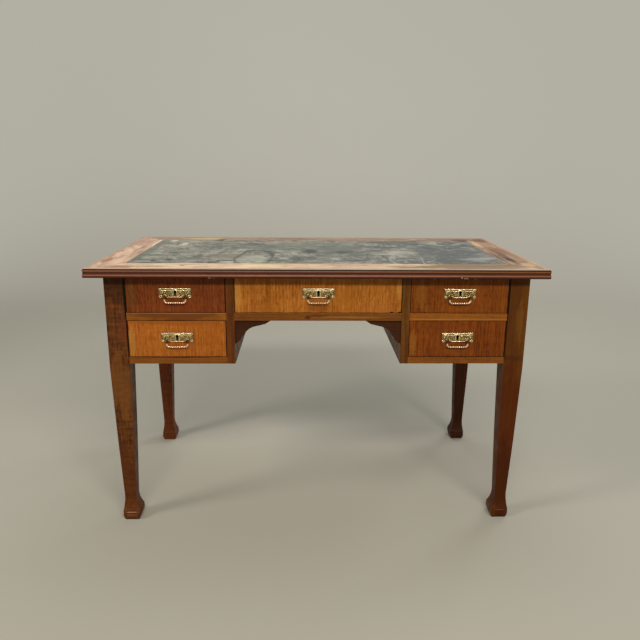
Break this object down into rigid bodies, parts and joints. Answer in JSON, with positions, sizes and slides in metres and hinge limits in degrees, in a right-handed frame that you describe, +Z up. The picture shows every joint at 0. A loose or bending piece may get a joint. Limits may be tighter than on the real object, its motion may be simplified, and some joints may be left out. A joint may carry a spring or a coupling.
{
  "type": "writing desk",
  "caption": "Free-standing kneehole writing desk with a leather-lined moulded top, square tapered legs with carved pad feet, shallow pedestals of drawers and brass bail handles with locks.",
  "frame": {"origin": "on the floor, under the middle of the desk's top", "axes": "+X along the desk to the sitter's right, -Y the side where the drawers open, +Z up"},
  "size_m": [1.28, 0.688, 0.78],
  "materials": {
    "carcass_wood": "old shellac polish, worn",
    "leg_wood": "old shellac polish, darkened",
    "border_wood": "polish worn away, bleached",
    "lipping_wood": "old shellac polish",
    "secondary_wood": "bare, planed",
    "drawer_lining_wood": "bare, planed",
    "top_left_front_wood": "veneer, polished",
    "bottom_left_front_wood": "veneer, polished",
    "centre_front_wood": "veneer, polished",
    "top_right_front_wood": "veneer, polished",
    "bottom_right_front_wood": "veneer, polished",
    "leather": "worn matt hide, mottled",
    "brass": "cast, aged, bright on the high parts",
    "lock_brass": "dull rolled plate",
    "lock_steel": "filed, greasy",
    "steel_screws": "dark, blued"
  },
  "bodies": {
    "carcass": {"front_left_leg": "leg_wood", "front_right_leg": "leg_wood", "back_left_leg": "leg_wood", "back_right_leg": "leg_wood", "left_end_panel": "carcass_wood", "right_end_panel": "carcass_wood", "left_partition": "carcass_wood", "right_partition": "carcass_wood", "left_back_panel": "carcass_wood", "right_back_panel": "carcass_wood", "centre_back_panel": "carcass_wood", "centre_rail": "carcass_wood", "middle_rails": "carcass_wood", "bottom_rails": "carcass_wood", "top_rails": "secondary_wood", "drawer_runners": "secondary_wood", "kneehole_brackets": "carcass_wood", "top_ground_panel": "secondary_wood", "top_front_border": "border_wood", "top_back_border": "border_wood", "top_left_border": "border_wood", "top_right_border": "border_wood", "top_edge_lipping": "lipping_wood", "top_fixing_screws": "steel_screws", "writing_leather": "leather"},
    "top_left_drawer": {"top_left_drawer_front": "top_left_front_wood", "top_left_drawer_sides_and_back": "drawer_lining_wood", "top_left_drawer_bottom": "drawer_lining_wood", "top_left_lock_case": "lock_brass", "top_left_handle_plate": "brass"},
    "top_left_bail": {"top_left_handle_bail": "brass"},
    "top_left_bolt": {"top_left_lock_bolt": "lock_steel"},
    "bottom_left_drawer": {"bottom_left_drawer_front": "bottom_left_front_wood", "bottom_left_drawer_sides_and_back": "drawer_lining_wood", "bottom_left_drawer_bottom": "drawer_lining_wood", "bottom_left_lock_case": "lock_brass", "bottom_left_handle_plate": "brass"},
    "bottom_left_bail": {"bottom_left_handle_bail": "brass"},
    "bottom_left_bolt": {"bottom_left_lock_bolt": "lock_steel"},
    "centre_drawer": {"centre_drawer_front": "centre_front_wood", "centre_drawer_sides_and_back": "drawer_lining_wood", "centre_drawer_bottom": "drawer_lining_wood", "centre_lock_case": "lock_brass", "centre_handle_plate": "brass"},
    "centre_bail": {"centre_handle_bail": "brass"},
    "centre_bolt": {"centre_lock_bolt": "lock_steel"},
    "top_right_drawer": {"top_right_drawer_front": "top_right_front_wood", "top_right_drawer_sides_and_back": "drawer_lining_wood", "top_right_drawer_bottom": "drawer_lining_wood", "top_right_lock_case": "lock_brass", "top_right_handle_plate": "brass"},
    "top_right_bail": {"top_right_handle_bail": "brass"},
    "top_right_bolt": {"top_right_lock_bolt": "lock_steel"},
    "bottom_right_drawer": {"bottom_right_drawer_front": "bottom_right_front_wood", "bottom_right_drawer_sides_and_back": "drawer_lining_wood", "bottom_right_drawer_bottom": "drawer_lining_wood", "bottom_right_lock_case": "lock_brass", "bottom_right_handle_plate": "brass"},
    "bottom_right_bail": {"bottom_right_handle_bail": "brass"},
    "bottom_right_bolt": {"bottom_right_lock_bolt": "lock_steel"}
  },
  "joints": [
    {"name": "top_left_drawer_slide", "type": "slide", "parent": "carcass", "child": "top_left_drawer", "axis": [0, -1, 0], "range_m": [0, 0.45]},
    {"name": "top_left_bail_swing", "type": "hinge", "parent": "top_left_drawer", "child": "top_left_bail", "pos_m": [-0.398, -0.3172, 0.6998], "axis": [-1, 0, 0], "range_deg": [-10, 175]},
    {"name": "top_left_bolt_slide", "type": "slide", "parent": "top_left_drawer", "child": "top_left_bolt", "axis": [0, 0, 1], "range_m": [0, 0.009]},
    {"name": "bottom_left_drawer_slide", "type": "slide", "parent": "carcass", "child": "bottom_left_drawer", "axis": [0, -1, 0], "range_m": [0, 0.45]},
    {"name": "bottom_left_bail_swing", "type": "hinge", "parent": "bottom_left_drawer", "child": "bottom_left_bail", "pos_m": [-0.398, -0.3172, 0.5718], "axis": [-1, 0, 0], "range_deg": [-10, 175]},
    {"name": "bottom_left_bolt_slide", "type": "slide", "parent": "bottom_left_drawer", "child": "bottom_left_bolt", "axis": [0, 0, 1], "range_m": [0, 0.009]},
    {"name": "centre_drawer_slide", "type": "slide", "parent": "carcass", "child": "centre_drawer", "axis": [0, -1, 0], "range_m": [0, 0.45]},
    {"name": "centre_bail_swing", "type": "hinge", "parent": "centre_drawer", "child": "centre_bail", "pos_m": [0, -0.3172, 0.6998], "axis": [-1, 0, 0], "range_deg": [-10, 175]},
    {"name": "centre_bolt_slide", "type": "slide", "parent": "centre_drawer", "child": "centre_bolt", "axis": [0, 0, 1], "range_m": [0, 0.009]},
    {"name": "top_right_drawer_slide", "type": "slide", "parent": "carcass", "child": "top_right_drawer", "axis": [0, -1, 0], "range_m": [0, 0.45]},
    {"name": "top_right_bail_swing", "type": "hinge", "parent": "top_right_drawer", "child": "top_right_bail", "pos_m": [0.398, -0.3172, 0.6998], "axis": [-1, 0, 0], "range_deg": [-10, 175]},
    {"name": "top_right_bolt_slide", "type": "slide", "parent": "top_right_drawer", "child": "top_right_bolt", "axis": [0, 0, 1], "range_m": [0, 0.009]},
    {"name": "bottom_right_drawer_slide", "type": "slide", "parent": "carcass", "child": "bottom_right_drawer", "axis": [0, -1, 0], "range_m": [0, 0.45]},
    {"name": "bottom_right_bail_swing", "type": "hinge", "parent": "bottom_right_drawer", "child": "bottom_right_bail", "pos_m": [0.398, -0.3172, 0.5718], "axis": [-1, 0, 0], "range_deg": [-10, 175]},
    {"name": "bottom_right_bolt_slide", "type": "slide", "parent": "bottom_right_drawer", "child": "bottom_right_bolt", "axis": [0, 0, 1], "range_m": [0, 0.009]}
  ]
}
